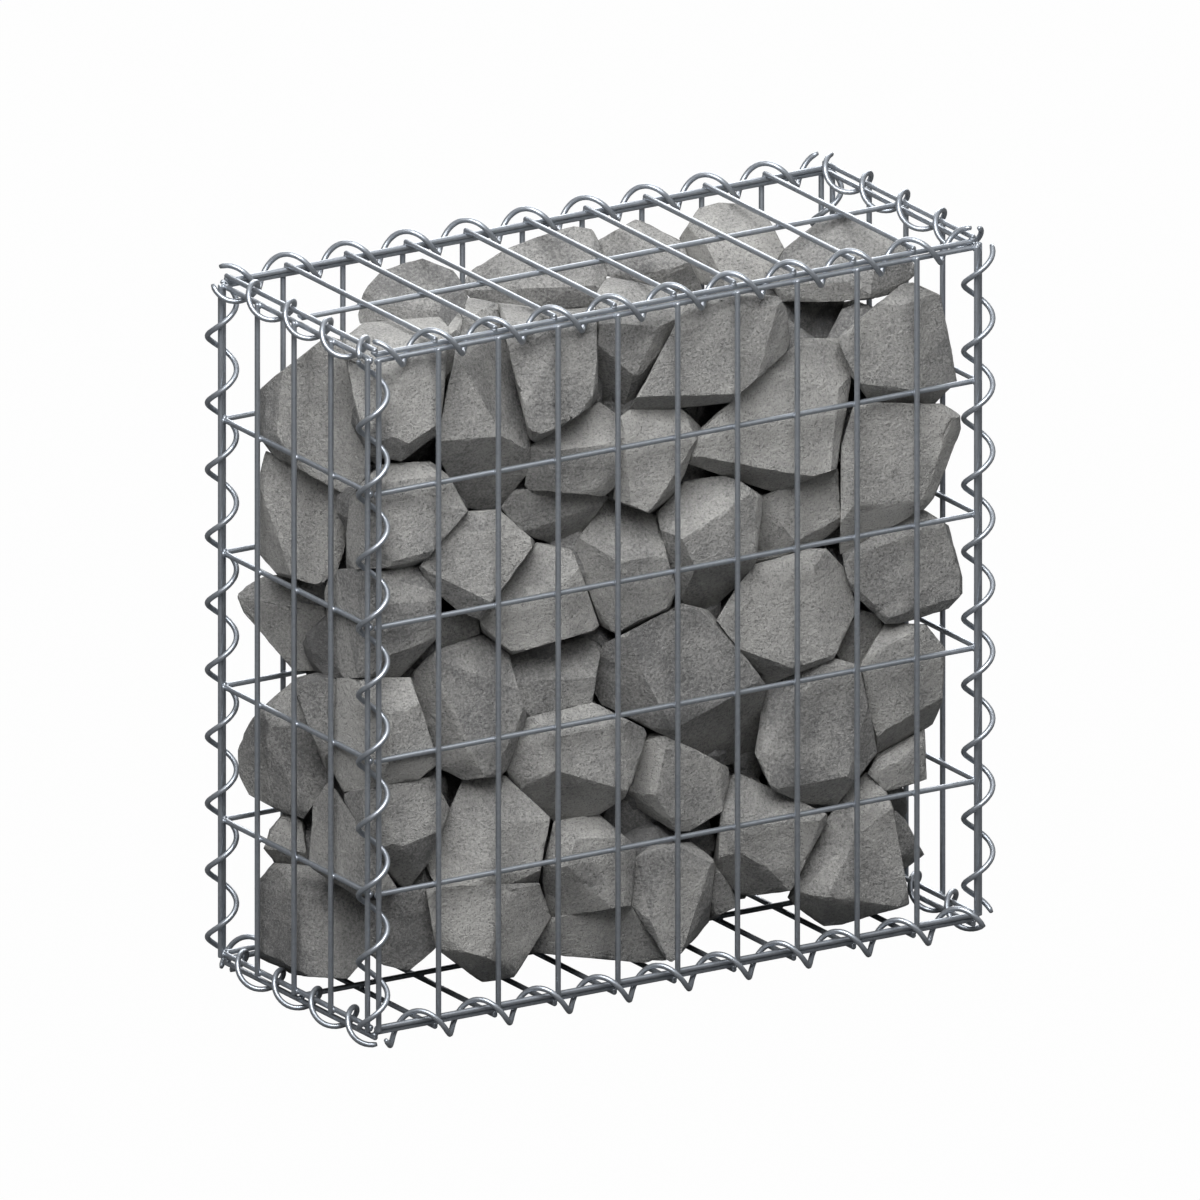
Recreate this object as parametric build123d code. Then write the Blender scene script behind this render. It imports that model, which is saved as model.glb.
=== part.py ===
# A stone-filled gabion basket: six welded mesh panels, laced along all twelve edges by wire
# spirals, and filled with broken stone. Millimetres, +Z up, +X along the front.
import os
from math import cos, pi, radians, sin, sqrt

import numpy as np
from build123d import *
from scipy.spatial import ConvexHull

# Basket, measured between the axes of its outermost wires
basket_length = 500.0
basket_depth = 200.0
basket_height = 500.0
cell_width = 50.0
cell_height = 100.0
lid_cell_length = 100.0

# Mesh wire, drawn with few sides and the real wire's area
wire_diameter = 4.0
wire_sides = 6
weld_sink = 0.5
wire_overshoot = 2.0
panel_standoff = 2.3
wire_clearance = 0.1

# Lacing spirals
spiral_diameter = 24.8
spiral_wire_diameter = 4.0
spiral_wire_sides = 4
spiral_pitch = 50.0
spiral_chords_per_turn = 8
spiral_rise = 2.8
spiral_clearance = 0.3
upright_bearing = 58.0
spiral_phase_shares = {
    "top_front": 0.247, "top_back": 0.159, "bottom_front": 0.536, "bottom_back": 0.809,
    "top_left": 0.758, "top_right": 0.058, "bottom_left": 0.445, "bottom_right": 0.363,
    "left_front": 0.418, "left_back": 0.171, "right_front": 0.983, "right_back": 0.193,
}
bearing_sides = {
    "top_front": 1, "top_back": 1, "bottom_front": -1, "bottom_back": 1,
    "top_left": -1, "top_right": 1, "bottom_left": -1, "bottom_right": 1,
}

# Stone fill
stone_clearance = 0.3
stone_joint = 0.3
stone_growth = 2.0
least_stone = 15.0
least_edge = 4.0
stone_corner_limit = 8
course_count = 5
break_relief = 1.5
tail_share = 0.7
roof_share = 0.75
lean_shares = {"front": 0.85, "left": 0.55, "lid": 0.3}
end_fill_share = 0.2
top_fill_share = 0.9

# The photograph: its line of sight, where the basket's middle lies, and the basket's own size
view_azimuth = -31.56
view_elevation = 18.0
middle_pixels = (600.4, 599.8)
height_pixels = 701.75
pictured_length_share = 1.0
pictured_depth_share = 0.4

# Each stone that shows: the mesh it lies against, how far back from it as a share of the depth,
# its outline, a point on its main face, how steeply that face falls to the right and downwards,
# and the breaks, each a line where the face ends and how steeply the stone falls away beyond it
stone_pixels = [
    # Under the lid, from the left
    ("lid", 0,
     [(356, 322), (369, 287), (398, 251), (451, 272), (467, 294), (462, 313), (432, 310), (378, 317)],
     (420, 285), (0, -0.3),
     [((369, 288), (378, 306), 0.9), ((378, 304), (440, 308), 0.6)]),
    ("lid", 0,
     [(462, 268), (500, 249), (548, 234), (573, 228), (590, 231), (602, 255), (606, 280), (578, 314),
      (530, 303), (468, 297)],
     (540, 262), (0, -0.25),
     [((468, 290), (600, 284), 0.8), ((594, 235), (601, 300), 0.8)]),
    ("lid", 0,
     [(598, 244), (625, 226), (637, 222), (664, 231), (695, 249), (701, 264), (700, 290), (660, 300),
      (606, 277)],
     (658, 250), (0.1, -0.45),
     [((626, 228), (632, 260), 0.5), ((606, 262), (658, 273), 1.0), ((658, 273), (695, 260), 1.1)]),
    ("lid", 0,
     [(681, 241), (701, 210), (720, 205), (738, 206), (766, 221), (784, 254), (757, 284), (702, 288)],
     (742, 256), (0, 0.15),
     [((693, 224), (768, 230), 0.8), ((697, 226), (717, 265), 0.9)]),
    ("lid", 0,
     [(784, 253), (828, 218), (849, 217), (898, 240), (914, 272), (884, 287), (846, 328), (801, 326),
      (771, 280)],
     (840, 255), (0, -0.3),
     [((790, 284), (866, 281), 0.8), ((866, 281), (833, 323), 0.9)]),
    # Against the left end, from the top
    ("left", 0,
     [(327, 340), (262, 391), (259, 432), (302, 487), (350, 495), (372, 490), (345, 345)],
     (318, 420), (0, 0),
     [((281, 395), (277, 434), 0.7), ((277, 432), (307, 480), 1.0)]),
    ("left", 0,
     [(268, 455), (302, 487), (350, 497), (343, 545), (330, 583), (286, 580), (262, 553), (259, 490)],
     (312, 525), (0, 0),
     [((262, 490), (290, 568), 1.0), ((345, 510), (327, 575), 0.7)]),
    ("left", 0,
     [(240, 596), (257, 576), (297, 577), (325, 590), (322, 640), (331, 668), (295, 668), (247, 612)],
     (292, 640), (0.15, 0.3),
     [((244, 598), (318, 612), 1.0)]),
    ("left", 0,
     [(290, 685), (259, 713), (240, 745), (235, 763), (251, 792), (303, 820), (327, 778), (297, 740)],
     (300, 775), (0.1, 0),
     [((258, 725), (272, 750), 0.6), ((238, 764), (300, 806), 1.0), ((262, 728), (300, 724), 0.6)]),
    ("left", 0,
     [(297, 681), (327, 672), (335, 674), (345, 740), (326, 778), (302, 755), (285, 722)],
     (316, 705), (0, 0.1),
     [((290, 722), (322, 762), 1.2), ((321, 762), (342, 738), 1.0)]),
    ("left", 0.03,
     [(288, 812), (277, 826), (267, 848), (278, 863), (303, 868), (309, 850), (305, 820)],
     (290, 836), (0, 0),
     [((272, 848), (308, 853), 0.9)]),
    ("left", 0,
     [(258, 900), (258, 886), (278, 863), (310, 868), (330, 895), (368, 905), (372, 945), (345, 975),
      (268, 971), (260, 950)],
     (326, 928), (0, 0),
     [((297, 890), (303, 960), 0.7), ((297, 893), (345, 900), 0.6)]),
    # Front, top row
    ("front", 0,
     [(335, 350), (349, 337), (372, 318), (430, 310), (447, 331), (441, 372), (438, 430), (401, 457),
      (343, 447), (333, 425)],
     (420, 400), (0.15, 0),
     [((402, 380), (427, 357), 0.9), ((402, 380), (388, 425), 0.8), ((437, 424), (401, 448), 1.5),
      ((345, 425), (392, 440), 1.0)]),
    ("front", 0.12,
     [(448, 332), (462, 313), (470, 330), (470, 375), (454, 396), (442, 372)],
     (458, 350), (0.2, 0.4),
     []),
    ("front", 0.06,
     [(468, 300), (498, 295), (503, 345), (526, 434), (533, 461), (502, 503), (468, 513), (441, 456),
      (442, 422)],
     (468, 415), (-0.05, -0.1),
     [((482, 400), (500, 432), 0.7), ((450, 440), (490, 437), 0.7), ((455, 350), (500, 338), 0.7)]),
    ("front", 0,
     [(500, 296), (525, 290), (560, 306), (604, 325), (606, 384), (561, 440), (549, 447), (503, 418)],
     (572, 385), (0.05, 0),
     [((560, 340), (528, 400), 0.3), ((510, 338), (600, 322), 0.8), ((515, 425), (556, 438), 1.5)]),
    ("front", 0.07,
     [(597, 290), (606, 278), (650, 276), (690, 292), (671, 318), (664, 366), (622, 418), (600, 402)],
     (630, 345), (0, 0),
     [((604, 322), (658, 327), 0.9), ((658, 328), (635, 378), 0.7), ((606, 352), (632, 378), 1.1),
      ((632, 378), (664, 366), 1.3)]),
    ("front", 0,
     [(671, 312), (700, 300), (745, 296), (783, 299), (787, 343), (772, 385), (752, 397), (629, 411),
      (664, 366)],
     (712, 355), (0, 0),
     [((685, 320), (740, 303), 0.6), ((778, 303), (752, 392), 0.75), ((652, 396), (752, 393), 1.6)]),
    ("front", 0,
     [(884, 287), (903, 282), (938, 298), (955, 380), (931, 403), (905, 408), (877, 405), (843, 360),
      (839, 342)],
     (885, 355), (-0.05, 0),
     [((902, 320), (906, 395), 0.3), ((885, 304), (935, 308), 0.7), ((868, 384), (920, 390), 1.2),
      ((920, 389), (953, 366), 1.2)]),
    # Front, second row
    ("front", 0,
     [(349, 507), (356, 490), (385, 466), (430, 464), (464, 490), (471, 535), (463, 556), (351, 574)],
     (400, 515), (0, -0.1),
     [((370, 484), (450, 478), 0.6), ((400, 563), (456, 549), 1.0), ((357, 500), (358, 570), 0.8)]),
    ("front", 0.05,
     [(600, 403), (644, 440), (621, 478), (591, 504), (575, 498), (528, 490), (533, 447), (563, 440)],
     (592, 470), (0, 0.15),
     [((545, 452), (640, 440), 0.7), ((545, 455), (560, 495), 0.6), ((592, 499), (622, 471), 1.2)]),
    ("front", 0.14,
     [(502, 504), (517, 491), (530, 490), (575, 498), (605, 497), (600, 520), (565, 547), (528, 532),
      (502, 523)],
     (545, 508), (0, 0.2),
     [((528, 530), (596, 507), 0.8)]),
    ("front", 0.04,
     [(622, 418), (631, 412), (672, 407), (684, 411), (700, 430), (675, 490), (641, 523), (616, 500),
      (622, 477)],
     (654, 470), (0, -0.05),
     [((628, 465), (632, 515), 1.0), ((682, 462), (647, 518), 1.0), ((630, 425), (690, 432), 0.6)]),
    ("front", 0.02,
     [(783, 368), (800, 342), (839, 341), (850, 371), (834, 471), (808, 498), (750, 482), (689, 461),
      (702, 430)],
     (780, 430), (0.05, -0.15),
     [((785, 374), (838, 388), 0.4), ((712, 458), (760, 467), 1.4), ((752, 466), (830, 479), 1.2),
      ((839, 386), (833, 450), 0.8)]),
    ("front", 0,
     [(858, 405), (940, 406), (963, 420), (957, 445), (932, 497), (914, 517), (860, 547), (843, 550),
      (844, 447)],
     (895, 455), (0, 0.05),
     [((952, 418), (932, 475), 0.9), ((855, 506), (920, 500), 0.5), ((855, 420), (853, 540), 0.6)]),
    # Front, third row
    ("front", 0.03,
     [(333, 572), (352, 575), (418, 569), (437, 600), (436, 635), (397, 677), (356, 689), (321, 640),
      (319, 607)],
     (410, 612), (0.15, 0.1),
     [((384, 575), (388, 660), 0.6), ((385, 657), (426, 640), 0.9), ((385, 590), (430, 592), 0.5),
      ((330, 640), (360, 684), 0.6)]),
    ("front", 0,
     [(470, 540), (468, 514), (500, 512), (536, 545), (539, 583), (496, 622), (480, 624), (418, 572),
      (430, 562)],
     (505, 560), (0, -0.1),
     [((440, 577), (500, 606), 0.6), ((470, 532), (520, 528), 0.35)]),
    ("front", 0.05,
     [(536, 545), (574, 553), (597, 598), (598, 621), (574, 665), (533, 667), (483, 635), (480, 624),
      (538, 589)],
     (540, 620), (-0.05, 0),
     [((566, 590), (569, 645), 0.35), ((520, 600), (575, 580), 0.5), ((507, 651), (567, 645), 1.3),
      ((577, 648), (594, 612), 1.3)]),
    ("front", 0.16,
     [(441, 615), (465, 612), (480, 622), (483, 636), (475, 642), (440, 650)],
     (460, 628), (0, 0.3),
     []),
    ("front", 0.06,
     [(603, 497), (631, 523), (656, 518), (685, 560), (663, 620), (636, 639), (599, 622), (574, 553),
      (600, 520)],
     (650, 595), (0.05, 0.15),
     [((612, 563), (675, 553), 0.7), ((620, 563), (632, 632), 0.6), ((632, 636), (662, 614), 0.9)]),
    ("front", 0.03,
     [(659, 514), (686, 484), (731, 477), (768, 503), (780, 537), (777, 548), (710, 607), (682, 600),
      (683, 574)],
     (728, 540), (0.1, 0.05),
     [((738, 502), (686, 537), 0.7), ((697, 568), (766, 552), 0.9), ((742, 482), (778, 536), 0.8),
      ((682, 537), (695, 566), 1.0)]),
    ("front", 0.1,
     [(765, 497), (800, 497), (836, 471), (842, 476), (841, 523), (797, 556), (772, 573), (757, 570)],
     (812, 508), (0, 0),
     [((775, 505), (790, 545), 0.5), ((786, 547), (840, 517), 0.9)]),
    ("front", 0.03,
     [(846, 551), (885, 533), (921, 511), (948, 528), (966, 586), (947, 606), (889, 624), (850, 585)],
     (905, 568), (0, 0),
     [((852, 583), (890, 618), 0.8), ((893, 616), (952, 598), 0.9), ((862, 554), (930, 526), 0.4)]),
    # Front, fourth row
    ("front", 0,
     [(337, 681), (357, 690), (417, 680), (435, 743), (436, 766), (400, 788), (349, 796), (334, 767)],
     (405, 730), (0.1, 0.05),
     [((385, 715), (426, 702), 0.6), ((385, 705), (372, 760), 0.45), ((348, 758), (430, 764), 0.5),
      ((342, 705), (360, 752), 0.8)]),
    ("front", 0.03,
     [(449, 643), (483, 637), (508, 657), (527, 708), (513, 757), (487, 788), (441, 764), (413, 676)],
     (487, 705), (0.05, -0.1),
     [((441, 682), (478, 768), 0.8), ((445, 663), (505, 685), 0.4), ((523, 714), (489, 784), 1.0)]),
    ("front", 0.1,
     [(508, 657), (533, 667), (573, 666), (598, 631), (599, 650), (590, 703), (550, 715), (530, 719)],
     (555, 692), (0, 0.1),
     [((565, 679), (595, 677), 0.6)]),
    ("front", 0.05,
     [(601, 648), (640, 641), (682, 606), (703, 607), (764, 677), (757, 748), (728, 765), (605, 703),
      (596, 688)],
     (697, 665), (0.05, -0.05),
     [((632, 645), (646, 680), 0.6), ((646, 679), (672, 726), 0.7), ((676, 728), (745, 690), 1.0)]),
    ("front", 0.03,
     [(752, 568), (801, 551), (825, 552), (846, 574), (854, 610), (824, 674), (805, 680), (768, 682),
      (720, 621)],
     (785, 622), (0, 0),
     [((812, 565), (822, 640), 0.45), ((745, 650), (800, 671), 1.2), ((755, 582), (815, 570), 0.5)]),
    ("front", 0.15,
     [(850, 620), (860, 608), (888, 624), (865, 640), (860, 664), (831, 660)],
     (856, 640), (0.1, 0.3),
     []),
    ("front", 0.05,
     [(862, 630), (892, 625), (925, 628), (943, 650), (940, 700), (931, 721), (880, 753), (862, 672)],
     (908, 682), (0.05, 0.1),
     [((866, 658), (896, 643), 0.8), ((870, 660), (886, 728), 0.4), ((884, 730), (937, 700), 1.2)]),
    # Front, fifth row
    ("front", 0.02,
     [(335, 797), (375, 797), (431, 779), (451, 817), (436, 849), (405, 889), (375, 870), (335, 839)],
     (412, 815), (0.1, -0.1),
     [((393, 850), (438, 831), 0.65), ((375, 800), (396, 850), 0.5), ((345, 832), (392, 843), 0.9),
      ((432, 790), (441, 830), 0.5)]),
    ("front", 0.03,
     [(304, 803), (316, 782), (332, 783), (345, 830), (395, 889), (343, 895), (327, 894), (311, 876)],
     (345, 868), (0.1, 0),
     [((318, 800), (327, 868), 0.7), ((322, 840), (372, 862), 0.4)]),
    ("front", 0.03,
     [(464, 783), (507, 778), (523, 809), (556, 826), (558, 850), (545, 880), (502, 896), (440, 888),
      (430, 865)],
     (515, 845), (0.1, 0),
     [((500, 800), (480, 880), 0.45), ((500, 822), (550, 822), 0.4), ((500, 888), (545, 868), 1.2)]),
    ("front", 0,
     [(528, 720), (590, 704), (641, 730), (648, 745), (616, 809), (548, 821), (523, 809), (507, 778)],
     (600, 757), (0.1, -0.1),
     [((556, 735), (556, 785), 0.6), ((560, 771), (620, 788), 0.9), ((545, 736), (614, 728), 0.5),
      ((624, 735), (630, 790), 0.4)]),
    ("front", 0.07,
     [(648, 737), (682, 733), (725, 745), (727, 785), (722, 808), (690, 828), (655, 832), (630, 800)],
     (690, 780), (0.05, 0.1),
     [((667, 742), (656, 795), 0.7), ((653, 797), (670, 818), 1.3), ((714, 748), (720, 808), 0.9)]),
    ("front", 0.02,
     [(763, 690), (800, 682), (829, 661), (857, 664), (880, 745), (835, 803), (801, 800), (775, 788),
      (757, 750)],
     (825, 730), (0, -0.05),
     [((803, 695), (768, 748), 0.6), ((805, 783), (850, 776), 0.9), ((868, 705), (848, 776), 0.7)]),
    ("front", 0.08,
     [(880, 753), (905, 738), (922, 730), (924, 777), (880, 791), (870, 770)],
     (895, 777), (0.1, 0.3),
     [((876, 768), (908, 758), 0.9), ((905, 745), (914, 781), 0.6)]),
    # Front, on the base
    ("front", 0.1,
     [(372, 898), (400, 892), (424, 889), (423, 930), (436, 944), (408, 968), (385, 962), (370, 948)],
     (398, 930), (0.1, 0.15),
     []),
    ("front", 0,
     [(424, 893), (441, 888), (502, 897), (540, 882), (550, 917), (512, 974), (482, 979), (435, 944),
      (423, 930)],
     (460, 925), (0, 0),
     [((505, 905), (486, 955), 0.5), ((455, 955), (515, 957), 1.2), ((538, 900), (515, 955), 1.0)]),
    ("front", 0.04,
     [(556, 824), (600, 815), (633, 845), (634, 905), (625, 915), (593, 926), (549, 915), (541, 895),
      (541, 880)],
     (604, 868), (0.1, -0.05),
     [((568, 866), (616, 912), 0.55), ((575, 839), (615, 838), 0.6), ((577, 836), (567, 868), 0.5),
      ((624, 850), (625, 905), 0.4)]),
    ("front", 0.09,
     [(525, 950), (549, 918), (593, 927), (636, 906), (650, 925), (668, 963), (615, 952), (575, 945)],
     (600, 940), (0, 0.4),
     []),
    ("front", 0.2,
     [(602, 815), (625, 800), (655, 832), (675, 833), (660, 842), (632, 845)],
     (640, 832), (0, 0.3),
     []),
    ("front", 0.05,
     [(634, 862), (652, 848), (690, 844), (717, 865), (716, 878), (706, 922), (668, 963), (648, 930),
      (634, 905)],
     (672, 898), (0.05, 0),
     [((660, 866), (652, 920), 0.35), ((706, 878), (688, 935), 0.9), ((650, 918), (668, 956), 0.8),
      ((650, 866), (712, 868), 0.4)]),
    ("front", 0.04,
     [(737, 775), (800, 800), (824, 815), (824, 850), (813, 884), (750, 893), (725, 888), (716, 862),
      (728, 790)],
     (785, 845), (0.05, 0),
     [((742, 853), (795, 885), 0.75), ((735, 826), (822, 820), 0.5), ((738, 790), (740, 860), 0.5)]),
    ("front", 0.12,
     [(717, 868), (726, 890), (736, 896), (733, 906), (709, 917), (711, 895)],
     (722, 900), (0, 0.3),
     []),
    ("front", 0.03,
     [(862, 776), (879, 778), (893, 815), (907, 902), (828, 925), (800, 905), (791, 895), (813, 880),
      (825, 825)],
     (872, 868), (0.1, 0),
     [((865, 820), (827, 898), 0.45), ((800, 896), (830, 899), 1.2), ((828, 898), (856, 915), 1.2),
      ((862, 832), (890, 812), 0.4)]),
    ("front", 0.12,
     [(886, 805), (905, 822), (922, 853), (910, 862), (901, 868), (893, 832)],
     (904, 842), (0.2, 0.1),
     [((893, 858), (915, 850), 1.0)]),
]

# Sizes that follow from the ones above
half_length = basket_length / 2
half_depth = basket_depth / 2


def equal_area_radius(diameter, sides):
    # The corner radius of a regular polygon with the area of a round wire
    return diameter / 2 * sqrt(2 * pi / (sides * sin(2 * pi / sides)))


wire_radius = equal_area_radius(wire_diameter, wire_sides)
spiral_wire_radius = equal_area_radius(spiral_wire_diameter, spiral_wire_sides)
weld_layer = wire_diameter - weld_sink
front_rail_y = half_depth + panel_standoff
front_stile_y = front_rail_y + weld_layer
end_rail_x = half_length + panel_standoff
end_stile_x = end_rail_x + weld_layer
lid_rise = sqrt((2 * wire_radius + wire_clearance) ** 2 - panel_standoff ** 2)
cross_rise = lid_rise + weld_layer

spiral_radius = (spiral_diameter - spiral_wire_diameter) / 2
chord_angle = pi / spiral_chords_per_turn
spiral_corner_radius = spiral_radius * chord_angle / sin(chord_angle)
spiral_flat_radius = spiral_corner_radius * cos(chord_angle)
bearing_reach = spiral_flat_radius - spiral_wire_radius - wire_radius - spiral_clearance


def places(span, pitch):
    # Wire places over a span, centred, as near the pitch as whole cells allow
    cells = max(1, round(span / pitch))
    return [span * (i / cells - 1 / 2) for i in range(cells + 1)]


def bar(start, end, flat_towards):
    # One straight wire, with a flat turned to the wires that it is welded to
    run = Vector(*end) - Vector(*start)
    across = Plane(origin=start, x_dir=flat_towards, z_dir=run.normalized())
    section = across * RegularPolygon(wire_radius, wire_sides, rotation=180 / wire_sides)
    return extrude(section, amount=run.length)


def mesh_panel(bars):
    return bars[0].fuse(*bars[1:])


def long_side(side):
    # Uprights outside, rails inside, ending on the axes of the outermost uprights
    stile_y, rail_y = side * front_stile_y, side * front_rail_y
    low, high = -wire_overshoot, basket_height + wire_overshoot
    bars = []
    for x in places(basket_length, cell_width):
        bars.append(bar((x, stile_y, low), (x, stile_y, high), (0, 1, 0)))
    for z in places(basket_height, cell_height):
        level = z + basket_height / 2
        bars.append(bar((-half_length, rail_y, level), (half_length, rail_y, level), (0, 1, 0)))
    return mesh_panel(bars)


def end_side(side):
    stile_x, rail_x = side * end_stile_x, side * end_rail_x
    low, high = -wire_overshoot, basket_height + wire_overshoot
    bars = []
    for y in places(basket_depth, cell_width):
        bars.append(bar((stile_x, y, low), (stile_x, y, high), (1, 0, 0)))
    for z in places(basket_height, cell_height):
        level = z + basket_height / 2
        bars.append(bar((rail_x, -half_depth, level), (rail_x, half_depth, level), (1, 0, 0)))
    return mesh_panel(bars)


def flat_side(level, outwards):
    # Lid or base: long wires inside, cross wires outside
    long_z, cross_z = level + outwards * lid_rise, level + outwards * cross_rise
    reach = half_depth + wire_overshoot
    bars = []
    for x in places(basket_length, cell_width):
        bars.append(bar((x, -reach, cross_z), (x, reach, cross_z), (0, 0, 1)))
    for y in places(basket_depth, lid_cell_length):
        bars.append(bar((-half_length, y, long_z), (half_length, y, long_z), (0, 0, 1)))
    return mesh_panel(bars)


def level_seat(wires, height, side):
    # Moves a level spiral sideways until its turns bear on the farther of its two edge wires
    reaches = [wire[0] * side + sqrt(bearing_reach ** 2 - (height - wire[1]) ** 2) for wire in wires]
    return side * min(reaches)


def upright_seat(first_wire, second_wire):
    # Moves an upright spiral from midway between its two wires until it bears on the farther one
    middle = (np.array(first_wire) + np.array(second_wire)) / 2
    heading = np.array([cos(radians(upright_bearing)), sin(radians(upright_bearing))])
    moves = []
    for wire in (first_wire, second_wire):
        offset = middle - np.array(wire)
        along = offset @ heading
        moves.append(-along + sqrt(along ** 2 + bearing_reach ** 2 - offset @ offset))
    return middle + min(moves) * heading


def spiral(name, length, frame):
    # A right-handed spiral along the frame's Z, as a chain of chords
    chords = round(length / spiral_pitch * spiral_chords_per_turn)
    points = []
    for i in range(chords + 1):
        along = length * i / chords
        angle = 2 * pi * (spiral_phase_shares[name] + along / spiral_pitch)
        turn = Vector(spiral_corner_radius * cos(angle), spiral_corner_radius * sin(angle), along)
        points.append(frame.from_local_coords(turn))
    first_run = points[1] - points[0]
    across = Plane(origin=points[0], z_dir=first_run.normalized())
    section = across * RegularPolygon(spiral_wire_radius, spiral_wire_sides)
    return sweep(section, path=Polyline(*points), transition=Transition.RIGHT)


def long_edge_seat(name, side, level, outwards):
    wires = ((side * front_rail_y, level), (side * half_depth, level + outwards * lid_rise))
    height = level + outwards * spiral_rise
    return level_seat(wires, height, bearing_sides[name]), height


def end_edge_seat(name, side, level, outwards):
    wires = ((side * end_rail_x, level), (side * half_length, level + outwards * cross_rise))
    height = level + outwards * spiral_rise
    return level_seat(wires, height, bearing_sides[name]), height


def upright_edge_seat(side, front):
    return upright_seat((side * end_stile_x, front * half_depth), (side * half_length, front * front_stile_y))


def long_edge_spiral(name, *edge):
    y, height = long_edge_seat(name, *edge)
    frame = Plane(origin=(-half_length, y, height), x_dir=(0, 1, 0), z_dir=(1, 0, 0))
    return spiral(name, basket_length, frame)


def end_edge_spiral(name, *edge):
    x, height = end_edge_seat(name, *edge)
    frame = Plane(origin=(x, -half_depth, height), x_dir=(0, 0, 1), z_dir=(0, 1, 0))
    return spiral(name, basket_depth, frame)


def upright_spiral(name, side, front):
    x, y = upright_edge_seat(side, front)
    frame = Plane(origin=(x, y, 0), x_dir=(1, 0, 0), z_dir=(0, 0, 1))
    return spiral(name, basket_height, frame)


long_edges = {
    "top_front": (-1, basket_height, 1), "top_back": (1, basket_height, 1),
    "bottom_front": (-1, 0, -1), "bottom_back": (1, 0, -1),
}
end_edges = {
    "top_left": (-1, basket_height, 1), "top_right": (1, basket_height, 1),
    "bottom_left": (-1, 0, -1), "bottom_right": (1, 0, -1),
}
upright_edges = {"left_front": (-1, -1), "left_back": (-1, 1), "right_front": (1, -1), "right_back": (1, 1)}


def fill_planes():
    # The room for the stones: inside the six meshes, and cut off along the edges to clear the spirals
    inset = wire_radius + stone_clearance
    floor, roof = lid_rise - inset, basket_height + lid_rise - inset
    reach_x, reach_y = end_rail_x - inset, front_rail_y - inset
    planes = [((0, -1, 0), reach_y), ((-1, 0, 0), reach_x), ((0, 0, 1), roof)]
    planes += [((0, 1, 0), reach_y), ((1, 0, 0), reach_x), ((0, 0, -1), floor)]
    slant = 1 / sqrt(2)
    spiral_reach = spiral_corner_radius + spiral_wire_radius + stone_clearance
    for name, edge in long_edges.items():
        y, z = long_edge_seat(name, *edge)
        normal = (0, edge[0] * slant, edge[2] * slant)
        planes.append((normal, normal[1] * y + normal[2] * z - spiral_reach))
    for name, edge in end_edges.items():
        x, z = end_edge_seat(name, *edge)
        normal = (edge[0] * slant, 0, edge[2] * slant)
        planes.append((normal, normal[0] * x + normal[2] * z - spiral_reach))
    for side, front in upright_edges.values():
        x, y = upright_edge_seat(side, front)
        normal = (side * slant, front * slant, 0)
        planes.append((normal, normal[0] * x + normal[1] * y - spiral_reach))
    return [(np.array(normal), limit) for normal, limit in planes]


def ring(points):
    # The corners of a flat convex outline, in order
    return points[ConvexHull(points).vertices]


def cross(first, second):
    return first[..., 0] * second[..., 1] - first[..., 1] * second[..., 0]


def thinned(outline):
    # Drops the flattest corners until few enough are left
    while len(outline) > stone_corner_limit:
        before, after = np.roll(outline, 1, axis=0), np.roll(outline, -1, axis=0)
        outline = np.delete(outline, np.argmin(np.abs(cross(outline - before, after - before))), axis=0)
    return outline


def cut(points, normal, limit):
    # What is left of a convex body, given by its corners, on the inner side of a plane
    heights = points @ normal - limit
    kept, lost = points[heights <= 0], points[heights > 0]
    if len(lost) == 0:
        return points
    inner, outer = heights[heights <= 0], heights[heights > 0]
    shares = inner[:, None] / (inner[:, None] - outer[None, :])
    met = kept[:, None, :] + shares[..., None] * (lost[None, :, :] - kept[:, None, :])
    corners = np.vstack([kept, met.reshape(-1, points.shape[1])])
    return corners[ConvexHull(corners).vertices]


def crossings(first, second):
    # Where the edges of two flat outlines cross
    start, run = first[:, None, :], (np.roll(first, -1, axis=0) - first)[:, None, :]
    other, other_run = second[None, :, :], (np.roll(second, -1, axis=0) - second)[None, :, :]
    base = cross(run, other_run)
    base = np.where(base == 0, np.inf, base)
    along, other_along = cross(other - start, other_run) / base, cross(other - start, run) / base
    met = (along >= 0) & (along <= 1) & (other_along >= 0) & (other_along <= 1) & np.isfinite(base)
    return (start + along[..., None] * run)[met]


def parted(outlines):
    # Where two outlines overlap, both are cut back to the line through the crossings of their edges
    gap = stone_joint / 2 / basket_height * height_pixels
    for i in range(len(outlines)):
        for j in range(i):
            met = crossings(outlines[i], outlines[j])
            if len(met) < 2:
                continue
            apart = np.linalg.norm(met[:, None] - met[None, :], axis=2)
            first, second = np.unravel_index(np.argmax(apart), apart.shape)
            if apart[first, second] == 0:
                continue
            run = (met[second] - met[first]) / apart[first, second]
            normal = np.array([run[1], -run[0]])
            if normal @ (outlines[i].mean(axis=0) - outlines[j].mean(axis=0)) > 0:
                normal = -normal
            level = normal @ met[first]
            outlines[i] = ring(cut(outlines[i], normal, level - gap))
            outlines[j] = ring(cut(outlines[j], -normal, -level - gap))
    return outlines


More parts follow.
